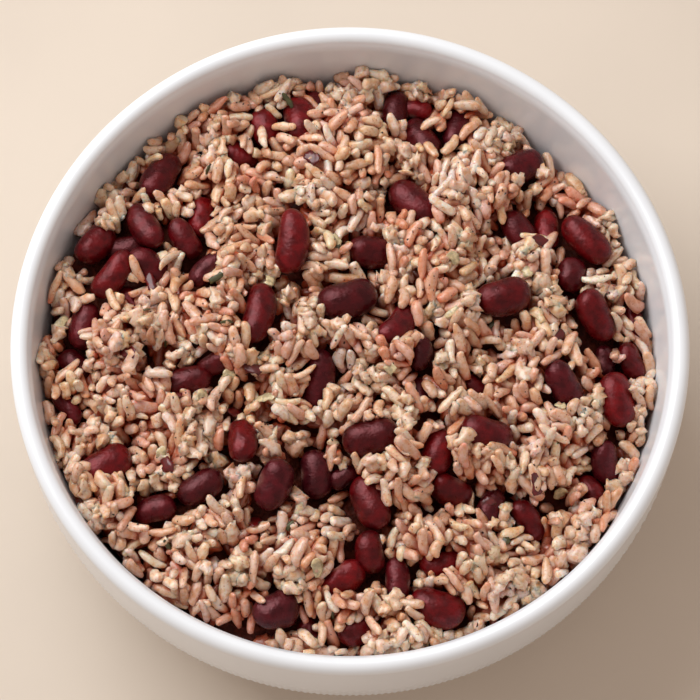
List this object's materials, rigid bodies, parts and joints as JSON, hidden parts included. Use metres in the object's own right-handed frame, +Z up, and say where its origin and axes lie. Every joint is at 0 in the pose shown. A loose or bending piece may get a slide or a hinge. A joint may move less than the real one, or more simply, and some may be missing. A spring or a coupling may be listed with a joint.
{
  "type": "bowl of rice and beans",
  "caption": "Round white glazed bowl heaped with cooked brown rice and whole red kidney beans, a side dish ready to serve.",
  "frame": {"origin": "middle of the bowl's foot, on the surface that the bowl stands on", "axes": "+Z up along the bowl's axis, the near side of the bowl towards -Y"},
  "size_m": [0.2028, 0.2028, 0.0782],
  "materials": {
    "bowl_glaze": "gloss",
    "cooked_rice": "satin",
    "bean_skin": "satin"
  },
  "bodies": {
    "root": {"bowl": "bowl_glaze", "rice": "cooked_rice", "bean_01": "bean_skin", "bean_02": "bean_skin", "bean_03": "bean_skin", "bean_04": "bean_skin", "bean_05": "bean_skin", "bean_06": "bean_skin", "bean_07": "bean_skin", "bean_08": "bean_skin", "bean_09": "bean_skin", "bean_10": "bean_skin", "bean_11": "bean_skin", "bean_12": "bean_skin", "bean_13": "bean_skin", "bean_14": "bean_skin", "bean_15": "bean_skin", "bean_16": "bean_skin", "bean_17": "bean_skin", "bean_18": "bean_skin", "bean_19": "bean_skin", "bean_20": "bean_skin", "bean_21": "bean_skin", "bean_22": "bean_skin", "bean_23": "bean_skin", "bean_24": "bean_skin", "bean_25": "bean_skin"}
  },
  "joints": []
}
